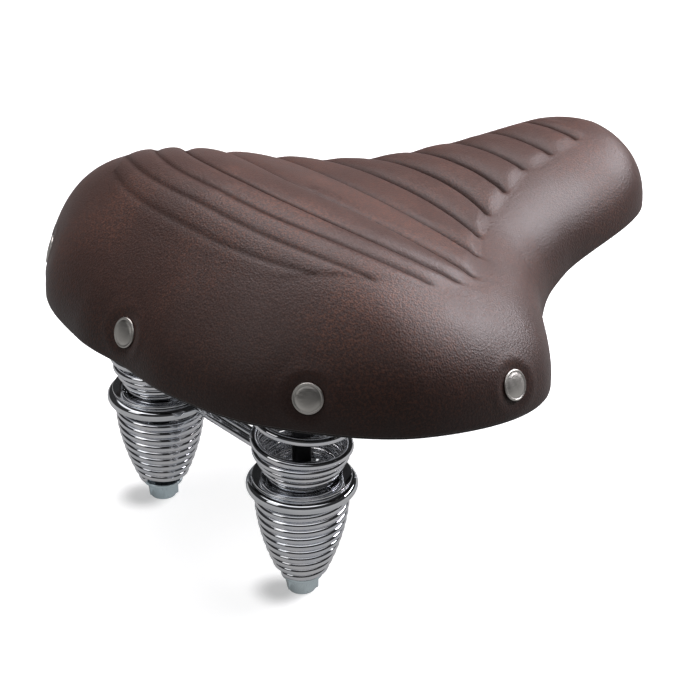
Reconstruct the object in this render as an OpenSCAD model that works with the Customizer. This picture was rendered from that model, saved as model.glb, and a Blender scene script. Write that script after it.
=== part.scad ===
/* [Saddle outline] */
// Rear edge of the cover on the centre line
rear_x = -149; // [-150:1:-147]
// Tip of the nose on the centre line
nose_x = 142; // [140:1:144]
// Half width where the rear corner starts
corner_w = 76; // [72:1:80]
// Half width at the widest part of the flanks
flank_w = 123; // [118:1:126]
// Half width at the waist between flank and nose
waist_w = 56; // [54:1:60]
// Half width of the nose
nose_w = 39; // [37:1:41]

/* [Saddle height] */
// Height of the lower rim at the rear
rim_rear = 54; // [53:0.5:56]
// Height of the lower rim at the flanks
rim_flank = 46; // [44:0.5:50]
// Height of the lower rim at the nose
rim_nose = 60; // [58:0.5:62]
// Height of the crown above the springs
crown_rear = 117; // [113:1:119]
// Height of the crown at the seat's dip
crown_dip = 94; // [92:1:96]
// Height of the crown at the nose
crown_nose = 93; // [91:1:96]

/* [Seat layers] */
// Thickness of the cover
cover_t = 2.5; // [2:0.1:3]
// Thickness of the base pan
pan_t = 2.2; // [1.8:0.1:3]
// How far the pan's dome reaches from the rim to the crown
pan_share = 0.46; // [0.44:0.01:0.48]
// Diameter of the cover rivets' heads
rivet_head_d = 12.6; // [10:0.1:14]
// Height of the rivets above the rim
rivet_rise = 13.2; // [12:0.1:16]

/* [Springs] */
// Distance of the spring axes behind the clamp
spring_x = -95; // [-98:1:-92]
// Half the distance between the two spring axes
spring_y = 50; // [48:0.1:51]
// Diameter of the spring wire
spring_wire = 3.8; // [3.5:0.1:3.9]
// Mean radius of the top coil of the lower spring
cone_top_r = 18.3; // [17.5:0.1:18.5]
// Mean radius of the bottom coil of the lower spring
cone_bottom_r = 9.2; // [9:0.1:10]
// Mean radius of the upper spring's open coils
coil_r = 19.7; // [19:0.1:20]
// Rear travel of the seat, as the angle at the nose pivot
travel_deg = 4.1; // [2:0.1:4.5]

/* [Under-frame] */
// Diameter of the two rails
rail_d = 7; // [7:0.1:7.2]
// Distance between the rail centres at the clamp
rail_gap = 44; // [43:0.5:45]
// Length of the straight stretch that the clamp grips
clamp_l = 80; // [70:1:84]
// Diameter of the ring wire
ring_wire = 5.9; // [5.5:0.1:6]
// Outer diameter of the rings
ring_od = 47; // [46:0.5:48]
// Diameter of the two cross bars
bar_d = 4; // [3.5:0.1:4.5]
// Nose pivot ahead of the clamp
pivot_x = 106; // [104:1:107]
// Nose pivot above the clamp
pivot_z = 50; // [48:0.5:51]

/* [Bolts] */
// Diameter of the spring bolts and of the nose bolt
bolt_d = 8; // [8:0.1:8.1]
// Width of the nuts and bolt heads across the flats
hex_af = 13; // [12.8:0.1:13]

/* [Hidden] */
$fn = 48;
LEFT = 1;
RIGHT = -1;

// Half outline of the cover from rear to nose, as distance along X and half width
half_outline = [
    [-149, 33], [-135, corner_w], [-92, flank_w - 4], [-29, flank_w], [19, 75], [54, waist_w], [122, nose_w]
];
outline = concat(
    [[rear_x, 0]],
    [for (p = half_outline) [p[0], -p[1]]],
    [[nose_x, 0]],
    [for (i = [len(half_outline) - 1:-1:0]) half_outline[i]]
);
spans = len(outline);
// Steps per outline span and from crown to rim
fine = [5, 10];
coarse = [4, 8];

// Height curves along X, as [x, z]
rim_curve = [[-150, rim_rear], [-95, rim_rear - 2], [-10, rim_flank], [65, rim_nose - 5], [130, rim_nose]];
crown_curve = [[-150, crown_dip], [-95, crown_rear], [-10, crown_dip], [65, crown_nose - 2], [130, crown_nose]];

// The dome's sections are superellipses over a spine that stops short of both ends
spine_rear = rear_x + 60;
spine_nose = nose_x - 27;
cover_square = [2.2, 2.3];
pan_square = [4, 4];

layer_gap = 0.9;
foam_inset = cover_t + layer_gap;
foam_t = 1.4;
pan_inset = foam_inset + foam_t + layer_gap;
hem_drop = 2.2;
hem_inset = 0.8;

rivet_shank_d = 5;
rivet_turns = [0, 2.3, 3.69, -2.3, -3.69];
rivet_grip = 12.1;

plate_z = 62.8;
plate_t = 2.5;
plate_pad_r = 23;
screw_d = 6;
screw_x = spring_x + 2;
screw_ys = [12, 64];
pan_roof = 80.3;

bracket_z = 64;
bracket_t = 2.5;
tube_d = 14;
tube_half_l = 16;
cheek_y = tube_half_l + 0.3;
cheek_r = 10;
bracket_l = 34;
bracket_screw_xs = [pivot_x - 10, pivot_x + 8];
bracket_roof = bracket_z + bracket_t + 7.5;
plate_grip = 9;
bracket_grip = 5;

rail_front_y = 12;
rail_lean = atan((rail_gap / 2 - rail_front_y) / pivot_z);
rail_climb = 55;
rail_bend_r = 20;
rail_flare = 9.5;
flare_r = 60;
flare_l = 37;

ring_r = (ring_od - ring_wire) / 2;
seat_z = ring_wire / 2 + 0.15;
seat_t = 1.2;
seat_hole_r = bolt_d / 2 + pivot_z * sin(travel_deg) + 1.3;
seat_floor_z = -0.4;

cone_top_z = -5;
cone_turns = 9.5;
cone_pitch = spring_wire + 0.06;
cone_bottom_z = cone_top_z - cone_turns * cone_pitch;
washer_z = cone_bottom_z - spring_wire / 2 - 0.1;
washer_t = 1.6;
nut_z = washer_z - washer_t;
nut_h = 8;
nest_turns = 4;
nest_rise = 3.65;
open_turns = 3.6;
open_pitch = 11.4;
coil_z = seat_floor_z + seat_t + spring_wire / 2 + 0.15;
plate_gap = plate_z - spring_wire / 2 - 0.15;

BOLT_BLACK = [0.05, 0.045, 0.045];
LEATHER_BROWN = [0.2, 0.12, 0.1];
CHROME = [0.85, 0.86, 0.88];
ZINC = [0.62, 0.7, 0.74];

// ---------- curves ----------

function hermite(a, b, ta, tb, f) =
    a * (2 * f ^ 3 - 3 * f ^ 2 + 1) + ta * (f ^ 3 - 2 * f ^ 2 + f)
    + b * (3 * f ^ 2 - 2 * f ^ 3) + tb * (f ^ 3 - f ^ 2);
function slope(c, i) =
    let (a = max(i - 1, 0), b = min(i + 1, len(c) - 1))
    (c[b][1] - c[a][1]) / (c[b][0] - c[a][0]);
function span_of(c, x, i = 0) = (i >= len(c) - 2 || x < c[i + 1][0]) ? i : span_of(c, x, i + 1);
// Smooth height at x along a curve of [x, z] points
function height(c, x) =
    let (
        q = min(max(x, c[0][0]), c[len(c) - 1][0]),
        i = span_of(c, q),
        w = c[i + 1][0] - c[i][0]
    )
    hermite(c[i][1], c[i + 1][1], slope(c, i) * w, slope(c, i + 1) * w, (q - c[i][0]) / w);

function wrap(t) = t - spans * floor(t / spans);
// Point of the closed outline at t, counted in spans from the rear centre towards the right
function edge(t) =
    let (
        u = wrap(t),
        i = floor(u),
        f = u - i,
        a = outline[(i + spans - 1) % spans],
        b = outline[i % spans],
        c = outline[(i + 1) % spans],
        d = outline[(i + 2) % spans]
    )
    0.5 * (2 * b + (c - a) * f + (2 * a - 5 * b + 4 * c - d) * f ^ 2 + (3 * b - a - 3 * c + d) * f ^ 3);
function edge_in(t) =
    let (v = edge(t + 0.02) - edge(t - 0.02))
    [-v[1], v[0]] / norm(v);
function inset_edge(t, inset) = edge(t) + edge_in(t) * inset;
function spine(t) =
    let (
        u = wrap(t),
        share = (u <= spans / 2 ? u : spans - u) / (spans / 2),
        x = min(max(edge(t)[0], spine_rear), spine_nose)
    )
    [0.9 * x + 0.1 * (spine_rear + (spine_nose - spine_rear) * share), 0];

// Point of a dome: inset from the cover, top scaled to share of its height and lowered by drop
function dome_point(t, turn, inset, drop, share, square) =
    let (
        s = spine(t),
        r = inset_edge(t, inset),
        p = s + (r - s) * sin(turn) ^ (2 / square[0]),
        rim = height(rim_curve, r[0]),
        top = rim + (height(crown_curve, p[0]) - rim) * share - drop,
        z = rim + (top - rim) * cos(turn) ^ (2 / square[1])
    )
    [p[0], p[1], z];
// Turn at which a dome stands rise above the rim
function turn_at(t, rise, share, square) =
    let (e = edge(t), rim = height(rim_curve, e[0]), top = height(crown_curve, e[0]))
    acos((rise / ((top - rim) * share)) ^ (square[1] / 2));

// Closed dome; its floor follows the rim at base above it, or below it where base is negative
module dome(inset, drop, share, base, square, detail) {
    steps = detail[0];
    dome_steps = detail[1];
    loop_n = spans * steps;
    half_n = loop_n / 2;
    skin = [
        for (k = [1:dome_steps])
            for (i = [0:loop_n - 1])
                let (t = i / steps, end = base > 0 ? turn_at(t, base, share, square) : base < 0 ? 85 : 90)
                dome_point(t, end * k / dome_steps, inset, drop, share, square)
    ];
    skirt = [
        for (i = [0:loop_n - 1])
            let (p = skin[(dome_steps - 1) * loop_n + i], r = inset_edge(i / steps, inset))
            [p[0], p[1], height(rim_curve, r[0]) + base]
    ];
    shell = base < 0 ? concat(skin, skirt) : skin;
    rings = len(shell) / loop_n;
    n_rings = len(shell);
    tops = [for (i = [0:half_n]) dome_point(i / steps, 0, inset, drop, share, square)];
    floors = [for (i = [0:half_n]) [spine(i / steps)[0], 0, shell[(rings - 1) * loop_n + i][2]]];
    function mid(i) = i <= half_n ? i : loop_n - i;
    function ring_id(k, i) = (k - 1) * loop_n + i % loop_n;
    // Triangles of step i between a ring and the spine, split so that both stay wide
    function web(i, ring, spine_start) =
        let (
            a = ring_id(ring, i),
            b = ring_id(ring, i + 1),
            c = spine_start + mid((i + 1) % loop_n),
            d = spine_start + mid(i)
        )
        i % half_n < half_n / 2 ? [[a, b, d], [b, c, d]] : [[a, b, c], [a, c, d]];
    function flipped(pair) = [for (f = pair) [f[0], f[2], f[1]]];
    polyhedron(
        points = concat(shell, tops, floors),
        faces = concat(
            [for (i = [0:loop_n - 1]) each flipped(web(i, 1, n_rings))],
            [for (k = [1:rings - 1]) for (i = [0:loop_n - 1])
                [ring_id(k, i), ring_id(k, i + 1), ring_id(k + 1, i)]],
            [for (k = [1:rings - 1]) for (i = [0:loop_n - 1])
                [ring_id(k, i + 1), ring_id(k + 1, i + 1), ring_id(k + 1, i)]],
            [for (i = [0:loop_n - 1]) each web(i, rings, n_rings + half_n + 1)]
        )
    );
}

// Closed band that follows the rim between two insets and two heights
module rim_band(outer_inset, inner_inset, low, high) {
    steps = fine[0];
    corners = [[outer_inset, low], [inner_inset, low], [inner_inset, high], [outer_inset, high]];
    points = [
        for (i = [0:spans * steps - 1])
            for (c = corners)
                let (p = inset_edge(i / steps, c[0]), e = inset_edge(i / steps, 0))
                [p[0], p[1], height(rim_curve, e[0]) + c[1]]
    ];
    polyhedron(points = points, faces = tube_faces(spans * steps, 4, true));
}

// Triangles between successive rings of a tube, with or without closing ends
function tube_faces(rings, sides, closed) = concat(
    [for (k = [0:rings - (closed ? 1 : 2)]) for (j = [0:sides - 1])
        [k * sides + j, ((k + 1) % rings) * sides + j, k * sides + (j + 1) % sides]],
    [for (k = [0:rings - (closed ? 1 : 2)]) for (j = [0:sides - 1])
        [k * sides + (j + 1) % sides, ((k + 1) % rings) * sides + j, ((k + 1) % rings) * sides + (j + 1) % sides]],
    closed ? [] : [
        [for (j = [0:sides - 1]) j],
        [for (j = [sides - 1:-1:0]) (rings - 1) * sides + j]
    ]
);

// Round tube through points that run along +X; reference is roughly across the tube
module tube(points, d, sides, reference) {
    n = len(points);
    skin = [
        for (k = [0:n - 1])
            let (
                v = points[min(k + 1, n - 1)] - points[max(k - 1, 0)],
                along = v / norm(v),
                c = cross(along, reference),
                side = c / norm(c),
                up = cross(side, along)
            )
            for (j = [0:sides - 1])
                points[k] + d / 2 * (side * cos(360 * j / sides) - up * sin(360 * j / sides))
    ];
    polyhedron(points = skin, faces = tube_faces(n, sides, false));
}

// Wire wound round the Z axis; path gives [radius, height] for each ring of the wire
module coil(path, steps_per_turn, side) {
    sides = 6;
    points = [
        for (k = [0:len(path) - 1])
            let (a = side * 360 * k / steps_per_turn)
            for (j = [0:sides - 1])
                let (
                    b = -side * 360 * j / sides,
                    r = path[k][0] + spring_wire / 2 * cos(b)
                )
                [r * cos(a), r * sin(a), path[k][1] + spring_wire / 2 * sin(b)]
    ];
    polyhedron(points = points, faces = tube_faces(len(path), sides, false));
}

// Places a child on the cover's skirt, with +Z along its outward normal
module on_skirt(t, rise) {
    turn = turn_at(t, rise, 1, cover_square);
    p = dome_point(t, turn, 0, 0, 1, cover_square);
    along = dome_point(t + 0.03, turn, 0, 0, 1, cover_square) - p;
    up = dome_point(t, turn - 2, 0, 0, 1, cover_square) - p;
    n = cross(along, up);
    translate(p)
        rotate([0, 0, atan2(n[1], n[0])])
            rotate([0, 90 - atan2(n[2], norm([n[0], n[1]])), 0])
                children();
}

// ---------- seat ----------

module rivet_holes(d) {
    for (t = rivet_turns)
        on_skirt(t, rivet_rise)
            translate([0, 0, -16])
                cylinder(h = 24, d = d);
}

module cover() {
    color(LEATHER_BROWN)
        difference() {
            dome(0, 0, 1, 0, cover_square, fine);
            dome(cover_t, cover_t, 1, -1, cover_square, fine);
            rivet_holes(rivet_shank_d + 0.4);
        }
}

module cover_hem() {
    color(LEATHER_BROWN * 0.7)
        rim_band(hem_inset, pan_inset + 3.5, -hem_drop, -0.3);
}

module foam_pad() {
    color("khaki")
        difference() {
            dome(foam_inset, foam_inset, 1, 3, cover_square, coarse);
            dome(pan_inset - layer_gap, -layer_gap, pan_share, -1, pan_square, coarse);
            rivet_holes(rivet_shank_d + 0.4);
        }
}

module pan_boss(x, y, low, high) {
    translate([x, y, low])
        cylinder(h = high - low, d = 14);
}

module base_pan() {
    color("dimgray")
        difference() {
            union() {
                difference() {
                    dome(pan_inset, 0, pan_share, 1.5, pan_square, coarse);
                    dome(pan_inset + pan_t, pan_t, pan_share, -1, pan_square, coarse);
                }
                for (side = [LEFT, RIGHT])
                    for (y = screw_ys)
                        pan_boss(screw_x, side * y, plate_z + plate_t, pan_roof);
                for (x = bracket_screw_xs)
                    pan_boss(x, 0, bracket_z + bracket_t, bracket_roof);
            }
            rivet_holes(rivet_shank_d + 0.4);
            for (side = [LEFT, RIGHT])
                for (y = screw_ys)
                    translate([screw_x, side * y, plate_z])
                        cylinder(h = plate_t + plate_grip + 0.5, d = screw_d + 0.2);
            for (x = bracket_screw_xs)
                translate([x, 0, bracket_z])
                    cylinder(h = bracket_t + bracket_grip + 0.5, d = screw_d + 0.2);
        }
}

module cover_rivets() {
    color("silver")
        for (t = rivet_turns)
            on_skirt(t, rivet_rise) {
                translate([0, 0, 0.3])
                    cylinder(h = 0.9, d = rivet_head_d);
                translate([0, 0, 1.2])
                    rotate_extrude()
                        polygon(dome_profile(rivet_head_d / 2 - 0.6, 0.9));
                translate([0, 0, -rivet_grip])
                    cylinder(h = rivet_grip + 0.4, d = rivet_shank_d);
            }
}
// Low spherical cap as a half profile
function dome_profile(r, h) = concat([[0, 0]], [for (a = [0:15:90]) [r * cos(a), h * sin(a)]]);

module rivet_washers() {
    color("silver")
        for (t = rivet_turns)
            on_skirt(t, rivet_rise)
                translate([0, 0, -rivet_grip])
                    difference() {
                        cylinder(h = 1.2, d = 11);
                        translate([0, 0, -1])
                            cylinder(h = 4, d = rivet_shank_d + 0.1);
                    }
}

module spring_plate() {
    color("dimgray")
        difference() {
            translate([0, 0, plate_z]) {
                for (side = [LEFT, RIGHT])
                    translate([spring_x, side * spring_y, 0])
                        cylinder(h = plate_t, r = plate_pad_r);
                translate([spring_x - 15, -spring_y, 0])
                    cube([34, 2 * spring_y, plate_t]);
            }
            for (side = [LEFT, RIGHT])
                translate([spring_x, side * spring_y, plate_z - 1])
                    cylinder(h = plate_t + 2, d = bolt_d + 0.3);
            for (side = [LEFT, RIGHT])
                for (y = screw_ys)
                    translate([screw_x, side * y, plate_z - 1])
                        cylinder(h = plate_t + 2, d = screw_d + 0.3);
        }
}

module pan_screw(x, y, z, grip) {
    translate([x, y, z - 3.2])
        cylinder(h = 3.2, d = 10.5);
    translate([x, y, z - 0.1])
        cylinder(h = grip, d = screw_d);
}

module plate_screws() {
    color("dimgray")
        for (side = [LEFT, RIGHT])
            for (y = screw_ys)
                pan_screw(screw_x, side * y, plate_z, plate_t + plate_grip);
}

// One cheek of the nose bracket, in the XZ plane
module cheek_shape() {
    difference() {
        union() {
            circle(r = cheek_r);
            polygon([
                [-cheek_r, 0], [-bracket_l / 2, bracket_z + bracket_t - pivot_z],
                [bracket_l / 2, bracket_z + bracket_t - pivot_z], [cheek_r, 0]
            ]);
        }
        circle(d = bolt_d + 0.3);
    }
}

module nose_bracket() {
    color("dimgray")
        difference() {
            union() {
                translate([pivot_x - bracket_l / 2, -cheek_y - bracket_t, bracket_z])
                    cube([bracket_l, 2 * (cheek_y + bracket_t), bracket_t]);
                for (y = [cheek_y + bracket_t, -cheek_y])
                    translate([pivot_x, y, pivot_z])
                        rotate([90, 0, 0])
                            linear_extrude(height = bracket_t)
                                cheek_shape();
            }
            for (x = bracket_screw_xs)
                translate([x, 0, bracket_z - 1])
                    cylinder(h = bracket_t + 2, d = screw_d + 0.3);
        }
}

module bracket_screws() {
    color("dimgray")
        for (x = bracket_screw_xs)
            pan_screw(x, 0, bracket_z, bracket_t + bracket_grip);
}

module hexagon(h) {
    cylinder(h = h, d = hex_af / cos(30), $fn = 6);
}

module nose_bolt() {
    outer_y = cheek_y + bracket_t + 0.1;
    color("silver")
        translate([pivot_x, -outer_y, pivot_z])
            rotate([-90, 0, 0]) {
                translate([0, 0, -5.3])
                    hexagon(5.3);
                cylinder(h = 2 * outer_y + 8, d = bolt_d);
            }
}

module lock_nut() {
    difference() {
        union() {
            hexagon(nut_h - 1.8);
            translate([0, 0, nut_h - 1.9])
                cylinder(h = 1.9, d = hex_af - 0.8);
        }
        translate([0, 0, -1])
            cylinder(h = nut_h + 2, d = bolt_d + 0.2);
    }
}

module nose_nut() {
    color(ZINC)
        translate([pivot_x, cheek_y + bracket_t + 0.1, pivot_z])
            rotate([-90, 0, 0])
                lock_nut();
}

// ---------- springs and their bolts ----------

module at_spring(side) {
    translate([spring_x, side * spring_y, 0])
        children();
}

function nest_path(steps) = [
    for (k = [0:nest_turns * steps])
        let (s = k / steps)
        [coil_r - 1.8 * (nest_turns - s), coil_z + nest_rise * s]
];
nest_top_z = coil_z + nest_rise * nest_turns;
free_rise = plate_gap - nest_top_z;
function open_path(steps) = [
    for (k = [1:open_turns * steps])
        let (s = k / steps, full = open_pitch * open_turns - 4.6 * (1 - exp(-2 * open_turns)))
        [coil_r, nest_top_z + free_rise * (open_pitch * s - 4.6 * (1 - exp(-2 * s))) / full]
];

module upper_spring(side) {
    steps = 15;
    color(CHROME)
        at_spring(side)
            coil(concat(nest_path(steps), open_path(steps)), steps, side);
}
module upper_spring_left() { upper_spring(LEFT); }
module upper_spring_right() { upper_spring(RIGHT); }

module lower_spring(side) {
    steps = 16;
    count = cone_turns * steps;
    path = [
        for (k = [0:count])
            let (s = k / count)
            [cone_top_r - (cone_top_r - cone_bottom_r) * s ^ 1.8, cone_top_z - cone_pitch * cone_turns * s]
    ];
    color(CHROME)
        at_spring(side)
            mirror([0, 0, 1])
                coil([for (p = path) [p[0], -p[1]]], steps, side);
}
module lower_spring_left() { lower_spring(LEFT); }
module lower_spring_right() { lower_spring(RIGHT); }

module spring_bolt(side) {
    top_z = plate_z + plate_t + 0.1;
    bottom_z = nut_z - nut_h + 0.5;
    color(BOLT_BLACK)
        at_spring(side) {
            translate([0, 0, bottom_z])
                cylinder(h = top_z - bottom_z + 1, d = bolt_d);
            translate([0, 0, top_z])
                hexagon(5);
        }
}
module spring_bolt_left() { spring_bolt(LEFT); }
module spring_bolt_right() { spring_bolt(RIGHT); }

module spring_washer(side) {
    color(ZINC)
        at_spring(side)
            translate([0, 0, washer_z - washer_t + 0.05])
                difference() {
                    cylinder(h = washer_t - 0.05, d = 18);
                    translate([0, 0, -1])
                        cylinder(h = washer_t + 2, d = bolt_d + 0.4);
                }
}
module spring_washer_left() { spring_washer(LEFT); }
module spring_washer_right() { spring_washer(RIGHT); }

module spring_nut(side) {
    color(ZINC)
        at_spring(side)
            translate([0, 0, nut_z])
                rotate([180, 0, 0])
                    lock_nut();
}
module spring_nut_left() { spring_nut(LEFT); }
module spring_nut_right() { spring_nut(RIGHT); }

// ---------- under-frame ----------

module ring(side) {
    color(CHROME)
        at_spring(side)
            rotate_extrude($fn = 96)
                translate([ring_r, 0])
                    circle(d = ring_wire);
}
module ring_left() { ring(LEFT); }
module ring_right() { ring(RIGHT); }

// Pressed dish that hangs in the ring and carries the upper spring
module spring_seat(side) {
    wall_r = ring_r - ring_wire / 2 - 0.3;
    color(CHROME)
        at_spring(side)
            rotate_extrude($fn = 96)
                polygon([
                    [seat_hole_r, seat_floor_z], [15, seat_floor_z],
                    [wall_r, seat_z], [ring_r + 0.6, seat_z],
                    [ring_r + 0.6, seat_z + seat_t], [wall_r - 0.6, seat_z + seat_t],
                    [14.6, seat_floor_z + seat_t], [seat_hole_r, seat_floor_z + seat_t]
                ]);
}
module spring_seat_left() { spring_seat(LEFT); }
module spring_seat_right() { spring_seat(RIGHT); }

// Left rail from rear to nose: flare, clamp stretch, climb, and a short level end
rail_rise = pivot_z / cos(rail_lean);
rail_slant = (rail_rise - 2 * rail_bend_r * (1 - cos(rail_climb))) / sin(rail_climb);
rail_top_x = clamp_l / 2 + 2 * rail_bend_r * sin(rail_climb) + rail_slant * cos(rail_climb);
function rail_side(x, h) = [x, rail_gap / 2 - h * sin(rail_lean), h * cos(rail_lean)];
function rail_flare_point(a, l) = [
    -clamp_l / 2 - flare_r * sin(a) - l * cos(a),
    rail_gap / 2 + flare_r * (1 - cos(a)) + l * sin(a),
    0
];
rail_path = concat(
    [rail_flare_point(rail_flare, flare_l)],
    [for (a = [rail_flare:-rail_flare / 4:0]) rail_flare_point(a, 0)],
    [for (a = [0:rail_climb / 6:rail_climb])
        rail_side(clamp_l / 2 + rail_bend_r * sin(a), rail_bend_r * (1 - cos(a)))],
    [for (a = [rail_climb:-rail_climb / 6:0])
        rail_side(rail_top_x - rail_bend_r * sin(a), rail_rise - rail_bend_r * (1 - cos(a)))],
    [rail_side(pivot_x - tube_d / 2 + 1, rail_rise)]
);

// The clamp stretch is a true cylinder, a hair thicker than the bent ends
module rail_shape() {
    tube(rail_path, rail_d - 0.1, 12, [0, 1, 0]);
    translate([-clamp_l / 2, rail_gap / 2, 0])
        rotate([0, 90, 0])
            cylinder(h = clamp_l, d = rail_d);
}

module rail_left() {
    color(CHROME)
        rail_shape();
}
module rail_right() {
    color(CHROME)
        mirror([0, 1, 0])
            rail_shape();
}

module pivot_tube() {
    color(CHROME)
        translate([pivot_x, tube_half_l, pivot_z])
            rotate([90, 0, 0])
                difference() {
                    cylinder(h = 2 * tube_half_l, d = tube_d);
                    translate([0, 0, -1])
                        cylinder(h = 2 * tube_half_l + 2, d = bolt_d + 0.16);
                }
}

// Bar from ring to ring at a distance ahead of the spring axes
module cross_bar(ahead) {
    half_l = spring_y - sqrt((ring_r + 1) ^ 2 - ahead ^ 2);
    color(CHROME)
        translate([spring_x + ahead, 0, 0]) {
            rotate([90, 0, 0])
                cylinder(h = 2 * half_l, d = bar_d, center = true);
            for (side = [LEFT, RIGHT])
                translate([0, side * half_l, 0])
                    sphere(d = bar_d + 1);
        }
}
module cross_bar_rear() { cross_bar(4.5); }
module cross_bar_front() { cross_bar(9.8); }

cover();
cover_hem();
foam_pad();
base_pan();
cover_rivets();
rivet_washers();
spring_plate();
plate_screws();
nose_bracket();
bracket_screws();
nose_bolt();
nose_nut();
upper_spring_left();
upper_spring_right();
lower_spring_left();
lower_spring_right();
spring_bolt_left();
spring_bolt_right();
spring_washer_left();
spring_washer_right();
spring_nut_left();
spring_nut_right();
pivot_tube();
rail_left();
rail_right();
ring_left();
ring_right();
spring_seat_left();
spring_seat_right();
cross_bar_rear();
cross_bar_front();
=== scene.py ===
"""Looks of the sprung saddle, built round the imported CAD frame.

Lengths are in millimetres until they become vertices; Blender's own settings are in metres.
"""

import math

import bmesh
import bpy
import numpy as np
from mathutils import Matrix, Vector


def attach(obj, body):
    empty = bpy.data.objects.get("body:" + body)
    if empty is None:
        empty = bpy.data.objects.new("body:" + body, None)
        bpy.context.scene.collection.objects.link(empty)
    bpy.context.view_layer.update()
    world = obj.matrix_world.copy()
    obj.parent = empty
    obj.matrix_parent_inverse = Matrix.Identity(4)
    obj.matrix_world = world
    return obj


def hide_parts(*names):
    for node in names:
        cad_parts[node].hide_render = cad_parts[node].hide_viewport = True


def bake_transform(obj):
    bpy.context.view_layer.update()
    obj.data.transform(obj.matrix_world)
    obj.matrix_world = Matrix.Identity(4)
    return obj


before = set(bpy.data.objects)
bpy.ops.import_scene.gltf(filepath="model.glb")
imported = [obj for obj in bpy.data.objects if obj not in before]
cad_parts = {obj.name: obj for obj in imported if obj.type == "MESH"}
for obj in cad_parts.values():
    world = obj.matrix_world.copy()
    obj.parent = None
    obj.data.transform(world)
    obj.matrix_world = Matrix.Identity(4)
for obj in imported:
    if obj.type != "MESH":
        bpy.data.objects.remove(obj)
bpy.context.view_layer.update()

MM = 0.001
SEAT, FRAME = "seat", "frame"

# ---------- the design's driving dimensions, as in the CAD source ----------

REAR_X, NOSE_X = -149, 142
HALF_OUTLINE = [(-149, 33), (-135, 76), (-92, 119), (-29, 123), (19, 75), (54, 56), (122, 39)]
OUTLINE = np.array(
    [(REAR_X, 0)] + [(x, -y) for x, y in HALF_OUTLINE] + [(NOSE_X, 0)] + HALF_OUTLINE[::-1], float
)
SPANS = len(OUTLINE)
RIM_CURVE = [(-150, 54), (-95, 52), (-10, 46), (65, 55), (130, 60)]
CROWN_CURVE = [(-150, 94), (-95, 117), (-10, 94), (65, 91), (130, 93)]
SPINE_REAR, SPINE_NOSE = REAR_X + 60, NOSE_X - 27
COVER_SQUARE, PAN_SQUARE = (2.2, 2.3), (4, 4)

COVER_T = 2.5
LAYER_GAP = 0.9
FOAM_INSET = COVER_T + LAYER_GAP
PAN_INSET, PAN_T, PAN_SHARE = FOAM_INSET + 1.4 + LAYER_GAP, 2.2, 0.46
RIVET_TURNS = (0, 2.3, 3.69, -2.3, -3.69)
RIVET_RISE, RIVET_R = 13.2, 6.3

SPRING_X, SPRING_Y = -95, 50
WIRE = 3.8
CONE_TOP_R, CONE_BOTTOM_R, CONE_TOP_Z, CONE_TURNS = 18.3, 9.2, -5, 9.5
COIL_R, NEST_TURNS, NEST_RISE, NEST_GROW = 19.7, 4, 3.65, 1.8
OPEN_TURNS, OPEN_PITCH, OPEN_EASE = 3.6, 11.4, 4.6
RING_OD, RING_WIRE = 47, 5.9
RING_R = (RING_OD - RING_WIRE) / 2
DISH_Z, DISH_T, DISH_FLOOR = RING_WIRE / 2 + 0.15, 1.2, -0.4
COIL_Z = DISH_FLOOR + DISH_T + WIRE / 2 + 0.15
PLATE_Z, PLATE_T = 62.8, 2.5
BOLT_D, HEX_AF = 8, 13
WASHER_Z = CONE_TOP_Z - CONE_TURNS * (WIRE + 0.06) - WIRE / 2 - 0.1
WASHER_T = 1.6
NUT_Z, NUT_H = WASHER_Z - WASHER_T, 8

RAIL_D, RAIL_GAP, CLAMP_L = 7, 44, 80
PIVOT_X, PIVOT_Z, TUBE_D, TUBE_HALF_L = 106, 50, 14, 16
RAIL_LEAN = math.atan((RAIL_GAP / 2 - 12) / PIVOT_Z)
RAIL_CLIMB, RAIL_BEND_R = math.radians(55), 20
FLARE, FLARE_R, FLARE_L = math.radians(9.5), 60, 37
CHEEK_Y, BRACKET_T = TUBE_HALF_L + 0.3, 2.5

# ---------- the cover's ribbed panel ----------

# Each groove across the panel: X on the centre line, how far its ends bend forwards, the power of that
# bend, half length, depth
GROOVES = [
    (103, 0, 2.5, 17, 1.3), (82.5, 0, 2.5, 20, 1.8), (61.5, 0, 2.5, 23.5, 2.1), (41, -1, 2.5, 32, 2.2),
    (21.5, -3, 2.5, 40, 2.3), (0.5, -2, 2.5, 54, 2.3), (-24, 7, 2.5, 69, 2.2), (-60, 26, 1.7, 84, 1.9),
    (-83.5, 37, 2.4, 88, 1.2), (-97, 35, 2.5, 89, 0.75), (-106.5, 21, 2.5, 82, 0.55),
    (-116, 14, 2.5, 67, 0.35),
]
# The panel runs on past its first groove as a tongue, and past its last one as a tail
TONGUE_L, TAIL_L = 11, 9
# Rise of the whole panel, and of a rib's arch above that
RIB_RISE, RIB_ARCH = 0.5, 1.0
# A rib this wide or wider, from groove to groove, has its full arch
FULL_RIB = 18
# A groove is a narrow cut, at its widest round MIDDLE_X, in a soft valley that is wider ahead of the cut
CUT_W, CUT_W_MIDDLE, MIDDLE_X, MIDDLE_L = 1.25, 1.9, 5, 50
AHEAD_W, BEHIND_W = 4.2, 2.2
# How far the panel lies towards +Y along the nose
PANEL_SHIFT = 5

# ---------- shape functions ----------


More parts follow.
